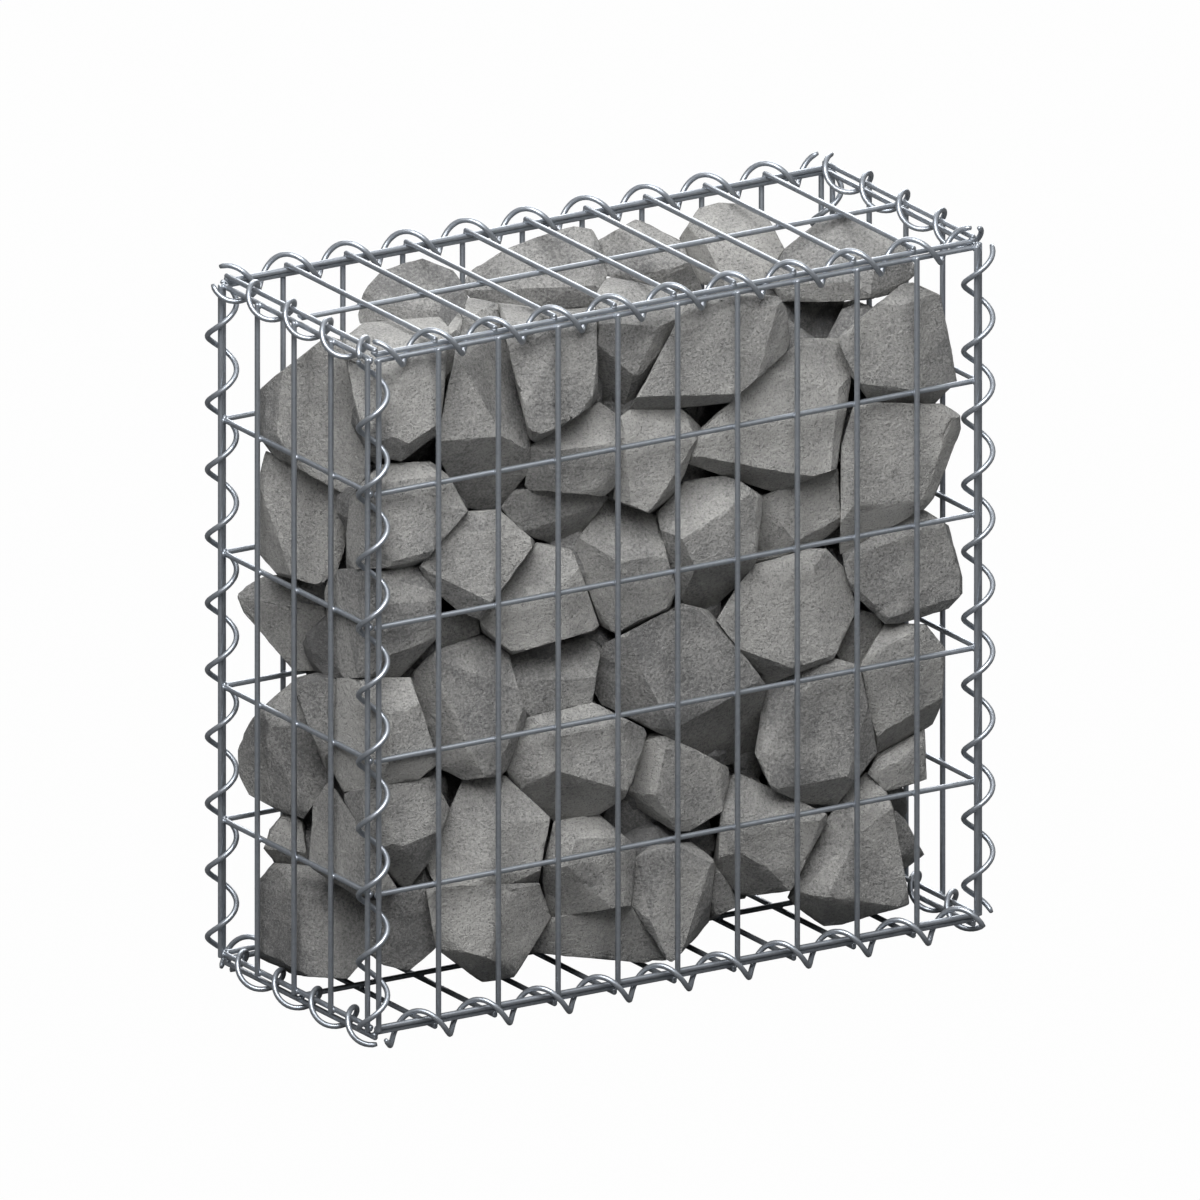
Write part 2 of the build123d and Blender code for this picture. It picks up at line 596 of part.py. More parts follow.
# The directions of the photograph, and the scale from its basket, one unit high, to this one
azimuth, elevation = radians(view_azimuth), radians(view_elevation)
view_right = np.array([cos(azimuth), sin(azimuth), 0])
view_up = np.array([-sin(azimuth) * sin(elevation), cos(azimuth) * sin(elevation), cos(elevation)])
view_near = np.array([sin(azimuth) * cos(elevation), -cos(azimuth) * cos(elevation), sin(elevation)])
pictured_length, pictured_depth = basket_length / pictured_length_share, basket_depth / pictured_depth_share
basket_scale = np.array([pictured_length, pictured_depth, basket_height])
sight = view_near * basket_scale
mesh_normals = {"front": (0, -1, 0), "left": (-1, 0, 0), "lid": (0, 0, 1)}
tail_turns = [(4 * i + 1) * pi / 6 for i in range(3)]
tail_directions = [cos(turn) * view_right + sin(turn) * view_up - view_near for turn in tail_turns]
roof_directions = [np.array(slope) for slope in ((1, 0, 2), (-1, 0, 2), (0, 1, 2), (0, -1, 2))]
planes = fill_planes()
room = dict(zip(mesh_normals, planes))


def on_picture(pixels):
    # Points on the plane through the basket's middle that faces the viewer
    offsets = (pixels - np.array(middle_pixels)) / height_pixels
    flat = offsets[:, :1] * view_right - offsets[:, 1:] * view_up
    return flat * basket_scale + np.array([0, 0, basket_height / 2])


def cast(points, normal, limit):
    # Moves points along the line of sight on to a plane
    return points + ((limit - points @ normal) / (normal @ sight))[:, None] * sight


def face(mesh, anchor, rise, slope):
    # The plane of one face: at the anchor it rises towards the viewer, and it falls back with the slope
    lean = lean_shares[mesh]
    level = (lean * np.array(mesh_normals[mesh]) + (1 - lean) * view_near) / basket_scale
    offsets = np.array([(0, 0), (1, 0), (0, 1)])
    rises = (rise - offsets @ slope) / height_pixels
    points = cast(on_picture(anchor + offsets), level, 0) + rises[:, None] * sight
    normal = np.cross(points[1] - points[0], points[2] - points[0])
    normal = normal / np.linalg.norm(normal) * np.sign(normal @ sight)
    return normal, normal @ points[0]


def stone(mesh, setback_share, outline, face_point, falls, breaks):
    # A block along the line of sight whose near end is cut to the main face and the broken ones
    face_point, main_slope = np.array(face_point), np.array(falls)
    faces = [face(mesh, face_point, 0, main_slope)]
    for start, end, steepness in breaks:
        start, run = np.array(start), np.array(end) - np.array(start)
        away = np.array([run[1], -run[0]]) / np.linalg.norm(run)
        away = away * np.sign(away @ (start - face_point))
        faces.append(face(mesh, start, (face_point - start) @ main_slope, main_slope + break_relief * steepness * away))
    middle = cast(on_picture(outline), view_near / basket_scale, 0)
    shell = np.vstack([middle + sight, middle - sight])
    for normal, limit in faces:
        shell = cut(shell, normal, limit)
    normal, limit = room[mesh]
    reach = (limit - setback_share * basket_depth - (shell @ normal).max()) / (normal @ sight)
    shell = shell + reach * sight
    for normal, limit in planes:
        shell = cut(shell, normal, limit)
    if mesh == "front":
        shell = cut(shell, np.array([0, 1, 0]), -stone_joint / 2)
    return shell if mesh == "lid" else chipped(shell, tail_directions, tail_share)


def chipped(body, directions, share):
    # Breaks off the corners that reach farthest in each direction
    middle = body.mean(axis=0)
    for direction in directions:
        reach = ((body - middle) @ direction).max()
        body = cut(body, direction, middle @ direction + share * reach)
    return body


def spaced(corners):
    # Leaves out corners that crowd another one
    kept = []
    for corner in corners:
        if all(np.linalg.norm(corner - other) > least_edge for other in kept):
            kept.append(corner)
    return np.array(kept)


def polyhedron(corners):
    # A closed convex solid from its corners, one face for each flat of the hull
    hull = ConvexHull(corners)
    flats = {}
    for triangle, plane in zip(hull.simplices, hull.equations):
        flats.setdefault(tuple(np.round(plane, 5)), set()).update(triangle.tolist())
    faces = []
    for plane, members in flats.items():
        normal = np.array(plane[:3])
        rim = corners[sorted(members)]
        middle = rim.mean(axis=0)
        east = rim[0] - middle
        north = np.cross(normal, east)
        order = np.argsort(np.arctan2((rim - middle) @ north, (rim - middle) @ east))
        faces.append(Face(Wire.make_polygon([tuple(point) for point in rim[order]], close=True)))
    return Solid(Shell(faces))


def stone_courses():
    outlines = []
    for row in stone_pixels:
        corners = ring(np.array(row[2], float))
        middle = corners.mean(axis=0)
        spread = np.linalg.norm(corners - middle, axis=1).mean()
        grown = 1 + stone_growth / basket_height * height_pixels / spread
        outlines.append(thinned(middle + grown * (corners - middle)))
    outlines = parted(outlines)
    half_joint = stone_joint / 2
    end_x, top_z = half_length - end_fill_share * basket_length, top_fill_share * basket_height
    far_side = [((0, -1, 0), -half_joint), ((0, 0, 1), top_z - half_joint), ((-1, 0, 0), end_x - half_joint)]
    far_side = [(np.array(normal), limit) for normal, limit in far_side] + planes
    bodies = []
    for (mesh, setback_share, _, face_point, falls, breaks), outline in zip(stone_pixels, outlines):
        body = stone(mesh, setback_share, outline, face_point, falls, breaks)
        if mesh == "left":
            body = cut(body, np.array([1, 0, 0]), -end_x - half_joint)
        if mesh == "lid":
            body = cut(body, np.array([0, 0, -1]), -top_z - half_joint)
        bodies.append(body)
        # The far side, which does not show, is filled with the same stones turned half round
        if mesh == "lid":
            continue
        turned = body * (-1, -1, 1)
        for normal, limit in far_side:
            if (turned @ normal).min() > limit - least_stone:
                break
            turned = cut(turned, normal, limit)
        else:
            bodies.append(chipped(turned, roof_directions, roof_share))
    courses = {(side, i): [] for side in ("front", "back") for i in range(course_count)}
    for body in bodies:
        middle = body.mean(axis=0)
        side = "front" if middle[1] < 0 else "back"
        course = min(course_count - 1, max(0, int(middle[2] / basket_height * course_count)))
        courses[side, course].append(polyhedron(spaced(body)))
    return {"%s_stones_course_%d" % (side, i + 1): Compound(stones) for (side, i), stones in courses.items()}


nodes = {
    "front_panel": long_side(-1),
    "back_panel": long_side(1),
    "left_end_panel": end_side(-1),
    "right_end_panel": end_side(1),
    "base_panel": flat_side(0, -1),
    "lid_panel": flat_side(basket_height, 1),
}
for name, edge in long_edges.items():
    nodes[name + "_spiral"] = long_edge_spiral(name, *edge)
for name, edge in end_edges.items():
    nodes[name + "_spiral"] = end_edge_spiral(name, *edge)
for name, edge in upright_edges.items():
    nodes[name + "_spiral"] = upright_spiral(name, *edge)
nodes.update(stone_courses())

# The origin lies on the ground, under the middle of the whole basket
boxes = [solid.bounding_box() for solid in nodes.values()]
middle_x = (min(box.min.X for box in boxes) + max(box.max.X for box in boxes)) / 2
middle_y = (min(box.min.Y for box in boxes) + max(box.max.Y for box in boxes)) / 2
ground = min(box.min.Z for box in boxes)
to_origin = Location((-middle_x, -middle_y, -ground))

os.makedirs("parts", exist_ok=True)
for name, solid in nodes.items():
    export_step(solid.moved(to_origin), "parts/%s.step" % name)
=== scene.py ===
import math

import bmesh
import bpy
import numpy as np
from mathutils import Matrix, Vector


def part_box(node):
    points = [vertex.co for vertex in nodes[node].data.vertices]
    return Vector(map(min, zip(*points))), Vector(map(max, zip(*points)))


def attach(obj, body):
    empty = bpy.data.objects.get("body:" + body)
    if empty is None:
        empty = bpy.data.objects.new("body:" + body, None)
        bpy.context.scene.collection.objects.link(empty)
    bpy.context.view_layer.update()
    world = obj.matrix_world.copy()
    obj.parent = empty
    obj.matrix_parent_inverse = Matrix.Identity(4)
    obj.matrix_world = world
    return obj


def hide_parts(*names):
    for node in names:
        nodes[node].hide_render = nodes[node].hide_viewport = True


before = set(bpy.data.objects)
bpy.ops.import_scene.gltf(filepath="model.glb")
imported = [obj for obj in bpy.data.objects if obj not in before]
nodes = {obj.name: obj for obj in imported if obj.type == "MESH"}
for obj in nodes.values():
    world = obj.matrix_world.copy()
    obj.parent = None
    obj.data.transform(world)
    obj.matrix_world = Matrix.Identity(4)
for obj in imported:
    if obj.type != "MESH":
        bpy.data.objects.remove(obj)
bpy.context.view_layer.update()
print("frame loaded:", len(nodes), "nodes")

mm = 0.001
scene = bpy.context.scene
scene.view_settings.view_transform = "Standard"


class Socket:
    # wraps an output socket, so that shader maths reads as plain sums
    def __init__(self, tree, out):
        self.tree = tree
        self.out = out

    def math(self, operation, first, second=0.0):
        return self.tree.add("ShaderNodeMath", {"operation": operation}, {0: first, 1: second})

    def __add__(self, other):
        return self.math("ADD", self, other)

    def __radd__(self, other):
        return self.math("ADD", other, self)

    def __sub__(self, other):
        return self.math("SUBTRACT", self, other)

    def __rsub__(self, other):
        return self.math("SUBTRACT", other, self)

    def __mul__(self, other):
        return self.math("MULTIPLY", self, other)

    def __rmul__(self, other):
        return self.math("MULTIPLY", other, self)


class Finish:
    # one material or sky: add() makes any node from its type, settings and socket values
    def __init__(self, name, world=None):
        self.material = world or bpy.data.materials.new(name)
        self.material.use_nodes = True
        self.tree = self.material.node_tree
        self.tree.nodes.clear()
        self.output = self.tree.nodes.new("ShaderNodeOutputWorld" if world else "ShaderNodeOutputMaterial")

    def add(self, kind, settings=None, sockets=None, result=0):
        node = self.tree.nodes.new(kind)
        for key, value in (settings or {}).items():
            setattr(node, key, value)
        for key, value in (sockets or {}).items():
            if isinstance(value, Socket):
                self.tree.links.new(value.out, node.inputs[key])
            else:
                node.inputs[key].default_value = value
        return Socket(self, node.outputs[result])

    def place(self, scale=(1, 1, 1), turn=(0, 0, 0)):
        here = self.add("ShaderNodeTexCoord", result="Object")
        return self.add("ShaderNodeMapping", {}, {"Vector": here, "Scale": scale, "Rotation": turn})

    def noise(self, where, scale, detail=4.0, rough=0.55):
        return self.add("ShaderNodeTexNoise", {}, {"Vector": where, "Scale": scale, "Detail": detail,
                                                   "Roughness": rough})

    def ramp(self, value, low, high):
        # 0 below low, 1 above high, smooth between
        return self.add("ShaderNodeMapRange", {"interpolation_type": "SMOOTHSTEP"},
                        {"Value": value, "From Min": low, "From Max": high})

    def mixColour(self, share, first, second):
        return self.add("ShaderNodeMix", {"data_type": "RGBA"}, {"Factor": share, 6: first, 7: second}, 2)

    def done(self, shader):
        self.tree.links.new(shader.out, self.output.inputs["Surface"])
        return self.material


# galvanised wire: bright zinc with a faint spangle and duller patches
zinc = {"bright": (0.385, 0.415, 0.455, 1), "dull": (0.325, 0.352, 0.39, 1), "patchSize": 55.0,
        "spangleSize": 420.0, "patchShare": 0.75, "spread": (0.34, 0.66), "rough": 0.35, "roughSpread": 0.08,
        "metallic": 0.80, "fineSize": 900.0, "bump": 0.02, "bumpDepth": 0.4 * mm}


def galvanisedWire():
    f = Finish("galvanisedWire")
    here = f.place()
    patches = f.noise(here, zinc["patchSize"], 3.0)
    spangle = f.add("ShaderNodeTexVoronoi", {}, {"Vector": here, "Scale": zinc["spangleSize"]}, "Color")
    grain = f.add("ShaderNodeSeparateColor", {}, {0: spangle})
    share = f.ramp(patches * zinc["patchShare"] + grain * (1 - zinc["patchShare"]), *zinc["spread"])
    colour = f.mixColour(share, zinc["dull"], zinc["bright"])
    rough = zinc["rough"] + zinc["roughSpread"] * (1 - share)
    fine = f.noise(here, zinc["fineSize"], 2.0)
    bump = f.add("ShaderNodeBump", {}, {"Strength": zinc["bump"], "Distance": zinc["bumpDepth"], "Height": fine})
    shader = f.add("ShaderNodeBsdfPrincipled", {}, {"Base Color": colour, "Roughness": rough,
                                                    "Metallic": zinc["metallic"], "Normal": bump})
    return f.done(shader)


# broken stone: grey and granular, with a tone for each facet, dark specks, pits and faint streaks
rock = {"pale": (0.42, 0.415, 0.40, 1), "mid": (0.30, 0.298, 0.29, 1), "dark": (0.17, 0.17, 0.17, 1),
        "speck": (0.075, 0.075, 0.075, 1), "cloud": 26.0, "grain": 460.0, "specks": 820.0, "streaks": 70.0,
        "swell": 34.0, "chips": 170.0, "streakStretch": (1, 1, 9), "streakTurn": (0.5, 0.35, 0),
        "shade": {"cloud": 0.42, "grain": 0.62, "streak": 0.06, "tone": 0.24},
        "height": {"swell": 0.40, "chips": 0.55, "grain": 0.55, "speck": 0.20},
        "darkToMid": (0.38, 0.55), "midToPale": (0.50, 0.70), "speckEdge": (0.58, 0.68), "speckShare": 0.45,
        "bump": 0.9, "bumpDepth": 3.4 * mm, "rough": 0.86, "roughSpread": 0.08, "specular": 0.22}


def brokenStone():
    f = Finish("brokenStone")
    here = f.place()
    tone = f.add("ShaderNodeAttribute", {"attribute_name": "stoneTone"}, result="Fac")
    cloud = f.noise(here, rock["cloud"], 5.0, 0.6)
    grain = f.noise(here, rock["grain"], 6.0, 0.7)
    streak = f.noise(f.place(rock["streakStretch"], rock["streakTurn"]), rock["streaks"], 3.0)
    parts = rock["shade"]
    shade = cloud * parts["cloud"] + grain * parts["grain"] + streak * parts["streak"]
    shade = shade + (tone - 0.5) * parts["tone"]  # tone runs from 0 to 1
    colour = f.mixColour(f.ramp(shade, *rock["darkToMid"]), rock["dark"], rock["mid"])
    colour = f.mixColour(f.ramp(shade, *rock["midToPale"]), colour, rock["pale"])
    specks = f.noise(here, rock["specks"], 2.0, 0.5)
    speckShare = f.ramp(specks, *rock["speckEdge"])
    colour = f.mixColour(speckShare * rock["speckShare"], colour, rock["speck"])
    swell = f.noise(here, rock["swell"], 3.0, 0.5)
    chips = f.noise(here, rock["chips"], 4.0, 0.65)
    parts = rock["height"]
    height = swell * parts["swell"] + chips * parts["chips"] + grain * parts["grain"] - speckShare * parts["speck"]
    bump = f.add("ShaderNodeBump", {}, {"Strength": rock["bump"], "Distance": rock["bumpDepth"], "Height": height})
    rough = rock["rough"] + rock["roughSpread"] * grain
    shader = f.add("ShaderNodeBsdfPrincipled", {}, {"Base Color": colour, "Roughness": rough, "Normal": bump,
                                                    "Specular IOR Level": rock["specular"]})
    return f.done(shader)


wireFinish = galvanisedWire()
stoneFinish = brokenStone()
print("finishes made")


def newPiece(name, points, faces, finish, slotName):
    # a smooth piece from points and faces, riding on the root
    mesh = bpy.data.meshes.new(name)
    mesh.from_pydata(points, [], faces)
    mesh.polygons.foreach_set("use_smooth", np.ones(len(mesh.polygons), bool))
    mesh.materials.append(finish)
    mesh.update()
    piece = bpy.data.objects.new(name, mesh)
    scene.collection.objects.link(piece)
    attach(piece, "root")
    return piece


def tubeMesh(centres, across, along, radii, sides):
    # ring j of tube k: centre + radius j times (across cos a + side sin a), side = along x across
    side = np.cross(along, across)
    angle = np.arange(sides) * 2 * np.pi / sides
    ring = across[:, :, None] * np.cos(angle)[:, None] + side[:, :, None] * np.sin(angle)[:, None]
    points = centres[:, :, None] + radii[None, :, None, None] * ring
    count, rings = centres.shape[:2]
    first = np.arange(count * rings * sides).reshape(count, rings, sides)
    turned = np.roll(first, -1, axis=2)
    quads = np.stack([first[:, :-1], turned[:, :-1], turned[:, 1:], first[:, 1:]], axis=-1).reshape(-1, 4)
    caps = np.concatenate([first[:, 0, ::-1], first[:, -1]])
    return points.reshape(-1, 3), quads.tolist() + caps.tolist()


wire = {"radius": 2.0 * mm, "sides": 14, "hexCorner": 2.1995 * mm, "hexFlat": 1.9048 * mm, "endRound": 1.1 * mm,
        "endRings": 4, "endTurn": 0.96, "upright": 0.5, "weldRadius": 2.7 * mm, "weldFlat": 0.8, "weldAround": 10,
        "weldRows": 7, "weldReach": 0.97, "weldAside": (0.3, 0.5, 0.81)}


def straightWires(starts, ends):
    # straight round wires whose ends are turned in on a quarter circle
    starts, ends = np.asarray(starts, float), np.asarray(ends, float)
    run = ends - starts
    length = np.linalg.norm(run, axis=1)[:, None]
    along = run / length
    bend = np.linspace(0, 1, wire["endRings"]) * np.pi / 2 * wire["endTurn"]
    narrow = wire["radius"] - wire["endRound"] * (1 - np.cos(bend))
    inset = wire["endRound"] * (1 - np.sin(bend[::-1]))
    places = np.concatenate([np.broadcast_to(inset, (len(run), wire["endRings"])), length - inset[::-1]], axis=1)
    radii = np.concatenate([narrow[::-1], narrow])
    centres = starts[:, None] + places[:, :, None] * along[:, None]
    upright = np.abs(along[:, 2:]) > wire["upright"]
    across = np.cross(along, np.where(upright, np.array([[1.0, 0, 0]]), np.array([[0, 0, 1.0]])))
    across = across / np.linalg.norm(across, axis=1)[:, None]
    spread = np.ones((1, centres.shape[1], 1))
    return tubeMesh(centres, across[:, None] * spread, along[:, None] * spread, radii, wire["sides"])


def weldBeads(centres, normal):
    # a flattened ball at each crossing: centre + r (cos v cos u, cos v sin u, flat sin v)
    around, rows = wire["weldAround"], wire["weldRows"]
    u = np.arange(around) * 2 * np.pi / around
    v = np.linspace(-0.5, 0.5, rows) * np.pi * wire["weldReach"]
    u, v = np.meshgrid(u, v)
    ball = np.stack([np.cos(v) * np.cos(u), np.cos(v) * np.sin(u), wire["weldFlat"] * np.sin(v)], axis=-1)
    east = np.cross(normal, wire["weldAside"])
    east = east / np.linalg.norm(east)
    turn = np.stack([east, np.cross(normal, east), normal])
    points = np.asarray(centres)[:, None, None] + wire["weldRadius"] * (ball @ turn)
    count = len(centres)
    first = np.arange(count * rows * around).reshape(count, rows, around)
    nextOne = np.roll(first, -1, axis=2)
    quads = np.stack([first[:, :-1], nextOne[:, :-1], nextOne[:, 1:], first[:, 1:]], axis=-1).reshape(-1, 4)
    caps = np.concatenate([first[:, 0, ::-1], first[:, -1]])
    return points.reshape(-1, 3), quads.tolist() + caps.tolist()


def joined(parts):
    # one list of points and faces: each part's numbers go up by the points before it
    points, faces, base = [], [], 0
    for p, f in parts:
        points.append(p)
        faces += [[i + base for i in face] for face in f]
        base += len(p)
    return np.concatenate(points), faces


def panelWires(name, longAxis, crossAxis, normalAxis, outerSide, outerCount, innerCount, outerAlong):
    # wires of one flat mesh, read from its CAD box: the outer layer runs along outerAlong
    low, high = (np.array(c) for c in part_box(name))
    outer = low[normalAxis] + wire["hexFlat"] if outerSide < 0 else high[normalAxis] - wire["hexFlat"]
    inner = high[normalAxis] - wire["hexFlat"] if outerSide < 0 else low[normalAxis] + wire["hexFlat"]
    innerAlong = crossAxis if outerAlong == longAxis else longAxis
    reach = wire["hexCorner"]
    outerPlaces = np.linspace(low[innerAlong] + reach, high[innerAlong] - reach, outerCount)
    innerPlaces = np.linspace(low[outerAlong] + reach, high[outerAlong] - reach, innerCount)
    outerStart = np.zeros((outerCount, 3))
    outerStart[:, normalAxis] = outer
    outerStart[:, innerAlong] = outerPlaces
    outerEnd = outerStart.copy()
    outerStart[:, outerAlong] = low[outerAlong]
    outerEnd[:, outerAlong] = high[outerAlong]
    innerStart = np.zeros((innerCount, 3))
    innerStart[:, normalAxis] = inner
    innerStart[:, outerAlong] = innerPlaces
    innerEnd = innerStart.copy()
    innerStart[:, innerAlong] = low[innerAlong] + reach
    innerEnd[:, innerAlong] = high[innerAlong] - reach
    welds = np.zeros((outerCount, innerCount, 3))
    welds[..., normalAxis] = (outer + inner) / 2
    welds[..., innerAlong] = outerPlaces[:, None]
    welds[..., outerAlong] = innerPlaces
    normal = np.eye(3)[normalAxis]
    parts = [straightWires(outerStart, outerEnd), straightWires(innerStart, innerEnd),
             weldBeads(welds.reshape(-1, 3), normal)]
    piece = newPiece(name + "Wires", *joined(parts), wireFinish, "galvanised_wire")
    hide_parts(name)


panels = {  # long axis, cross axis, axis through the mesh, outer side, outer wires, inner wires, outer wires' axis
    "front_panel": (0, 2, 1, -1, 11, 6, 2),
    "back_panel": (0, 2, 1, 1, 11, 6, 2),
    "left_end_panel": (1, 2, 0, -1, 5, 6, 2),
    "right_end_panel": (1, 2, 0, 1, 5, 6, 2),
    "base_panel": (0, 1, 2, -1, 11, 3, 1),
    "lid_panel": (0, 1, 2, 1, 11, 3, 1),
}
for name, layout in panels.items():
    panelWires(name, *layout)
print("mesh panels made")


lacing = {"turnRadius": 10.4 * mm, "wireRadius": 2.0 * mm, "pitch": 50 * mm, "stepsPerTurn": 28, "sides": 12,
          "long": 500 * mm, "short": 200 * mm, "tip": 0.72}
turnShares = {  # where on the turn each spiral starts
    "top_front": 0.247, "top_back": 0.159, "bottom_front": 0.536, "bottom_back": 0.809,
    "top_left": 0.758, "top_right": 0.058, "bottom_left": 0.445, "bottom_right": 0.363,
    "left_front": 0.418, "left_back": 0.171, "right_front": 0.983, "right_back": 0.193,
}


def lacingSpiral(name):
    # helix: axis + radius (first cos a + second sin a) + heading s, with a = 2 pi (start + s / pitch)
    node = nodes[name + "_spiral"]
    co = np.zeros(len(node.data.vertices) * 3)
    node.data.vertices.foreach_get("co", co)
    co = np.unique(np.round(co.reshape(-1, 3), 7), axis=0)
    low, high = co.min(axis=0), co.max(axis=0)
    axis = int(np.argmax(high - low))
    heading = np.eye(3)[axis]
    first = np.eye(3)[{0: 1, 1: 2, 2: 0}[axis]]
    second = np.cross(heading, first)
    length = lacing["short"] if axis == 1 else lacing["long"]
    centre = co.mean(axis=0)
    centre[axis] = (low[axis] + high[axis]) / 2 - length / 2
    steps = int(length / lacing["pitch"] * lacing["stepsPerTurn"]) + 1
    s = np.linspace(0, length, steps)
    angle = 2 * np.pi * (turnShares[name] + s / lacing["pitch"])
    out = first * np.cos(angle)[:, None] + second * np.sin(angle)[:, None]
    sweep = second * np.cos(angle)[:, None] - first * np.sin(angle)[:, None]
    path = centre + lacing["turnRadius"] * out + heading * s[:, None]
    along = sweep * (2 * np.pi * lacing["turnRadius"] / lacing["pitch"]) + heading
    along = along / np.linalg.norm(along, axis=1)[:, None]
    radii = np.full(steps, lacing["wireRadius"])
    radii[[0, -1]] *= lacing["tip"]
    piece = newPiece(name + "Lacing", *tubeMesh(path[None], out[None], along[None], radii, lacing["sides"]),
                     wireFinish, "galvanised_wire")
    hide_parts(name + "_spiral")


for edge in turnShares:
    lacingSpiral(edge)
print("lacing spirals made")


# broken stones: angles in degrees, waves and chips as (width, depth)
stones = {"seed": 11, "merge": 0.002 * mm, "flatAngle": 0.6, "crisp": 9, "longest": 5.6 * mm, "rounds": 7,
          "cuts": 12, "cutDepth": (0.6 * mm, 3.6 * mm), "cutFlat": 1e-7, "toneShare": 0.55, "lattice": 48,
          "waves": ((24 * mm, 1.0 * mm), (10 * mm, 0.8 * mm), (5 * mm, 0.45 * mm)), "outward": 1.5 * mm,
          "chip": (9 * mm, 3.0 * mm), "chipRarity": 5, "chipShift": 1, "ridge": 0.05}
dice = np.random.default_rng(stones["seed"])
lattice = dice.random((stones["lattice"],) * 3)
rooms = np.array([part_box(name) for name in sorted(nodes) if "_stones_" in name])
roomLow, roomHigh = rooms[:, 0].min(axis=0), rooms[:, 1].max(axis=0)  # no stone is swollen past the CAD fill


def unevenness(spots, size):
    # random heights on a lattice of the given size, blended by 3 t t - 2 t t t
    spots = spots / size
    corner = np.floor(spots).astype(int)
    t = spots - corner
    t = t * t * (3 - 2 * t)
    height = np.zeros(len(spots))
    for step in np.ndindex(2, 2, 2):
        share = np.prod(np.where(step, t, 1 - t), axis=1)
        height += share * lattice[tuple((corner + step).T % stones["lattice"])]
    return height


def placeOf(face):
    # the face's middle, to a hundredth of a millimetre
    return tuple(round(c, 5) for c in face.calc_center_median())


def looseStones(build):
    # lists of faces, one list for each stone, sorted by place so that each run draws alike
    found, seen = [], {}
    for start in build.faces:
        if start in seen:
            continue
        stone = [start]
        seen[start] = True
        for face in stone:
            near = [n for e in face.edges for n in e.link_faces if n not in seen]
            near = list(dict.fromkeys(near))
            seen.update(dict.fromkeys(near, True))
            stone += near
        found.append(stone)
    return sorted(found, key=lambda stone: min(placeOf(face) for face in stone))


def cutStone(build, stone):
    # a small break: what lies past the plane n . p = (farthest n . p) - depth is taken off
    n = dice.normal(size=3)
    n = n / np.linalg.norm(n)
    corners = list(dict.fromkeys(v for face in stone for v in face.verts))
    reach = np.array([v.co for v in corners]) @ n
    place = n * (reach.max() - dice.uniform(*stones["cutDepth"]))
    sides = list(dict.fromkeys(e for face in stone for e in face.edges))
    made = bmesh.ops.bisect_plane(build, geom=corners + sides + stone, dist=stones["cutFlat"], plane_co=place,
                                  plane_no=n, clear_outer=True)
    rim = [g for g in made["geom_cut"] if isinstance(g, bmesh.types.BMEdge)]
    kept = [g for g in made["geom"] if g.is_valid and isinstance(g, bmesh.types.BMFace)]
    return kept + bmesh.ops.holes_fill(build, edges=rim, sides=0)["faces"]


def stonePiece(name):
    # the node's stones with a tone each; skin = CAD skin - normal (waves + chips where facets meet - outward)
    copy = nodes[name].data.copy()
    copy.name = name + "Broken"
    build = bmesh.new()
    build.from_mesh(copy)
    bmesh.ops.remove_doubles(build, verts=build.verts, dist=stones["merge"])
    bmesh.ops.dissolve_limit(build, angle_limit=math.radians(stones["flatAngle"]), verts=build.verts,
                             edges=build.edges)
    tones = build.faces.layers.float.new("stoneTone")
    for stone in looseStones(build):
        for k in range(stones["cuts"]):
            stone = cutStone(build, stone)
        tone = float(dice.random())
        for face in sorted(stone, key=placeOf):
            face[tones] = tone * stones["toneShare"] + float(dice.random()) * (1 - stones["toneShare"])
    bmesh.ops.triangulate(build, faces=build.faces)
    for k in range(stones["rounds"]):
        long = [e for e in build.edges if e.calc_length() > stones["longest"]]
        if not long:
            break
        bmesh.ops.subdivide_edges(build, edges=long, cuts=1)
        bmesh.ops.triangulate(build, faces=[f for f in build.faces if len(f.verts) > 3])
    build.to_mesh(copy)
    build.free()
    copy.polygons.foreach_set("use_smooth", np.ones(len(copy.polygons), bool))
    copy.set_sharp_from_angle(angle=math.radians(stones["crisp"]))
    count = len(copy.vertices)
    spots, normals = np.zeros(count * 3), np.zeros(count * 3)
    copy.vertices.foreach_get("co", spots)
    copy.vertex_normals.foreach_get("vector", normals)
    spots, normals = spots.reshape(-1, 3), normals.reshape(-1, 3)
    faceNormals, corners = np.zeros(len(copy.polygons) * 3), np.zeros(len(copy.loops), int)
    copy.polygon_normals.foreach_get("vector", faceNormals)
    copy.loops.foreach_get("vertex_index", corners)
    faceNormals = np.repeat(faceNormals.reshape(-1, 3), 3, axis=0)
    meeting = np.stack([np.bincount(corners, faceNormals[:, k], count) for k in range(3)], axis=1)
    meeting = np.linalg.norm(meeting, axis=1) / np.bincount(corners, minlength=count)
    ridge = np.clip((1 - meeting) / stones["ridge"], 0, 1)
    depth = sum(deep * unevenness(spots, size) for size, deep in stones["waves"]) - stones["outward"]
    size, deep = stones["chip"]
    depth += ridge * deep * unevenness(spots + stones["chipShift"], size) ** stones["chipRarity"]
    copy.vertices.foreach_set("co", np.clip(spots - normals * depth[:, None], roomLow, roomHigh).ravel())
    copy.materials.clear()
    copy.materials.append(stoneFinish)
    copy.update()
    piece = bpy.data.objects.new(name + "Broken", copy)
    scene.collection.objects.link(piece)
    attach(piece, "root")
    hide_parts(name)
    return len(copy.polygons)


skinFaces = sum(stonePiece(name) for name in sorted(nodes) if "_stones_" in name)
print("stones made:", skinFaces, "faces")


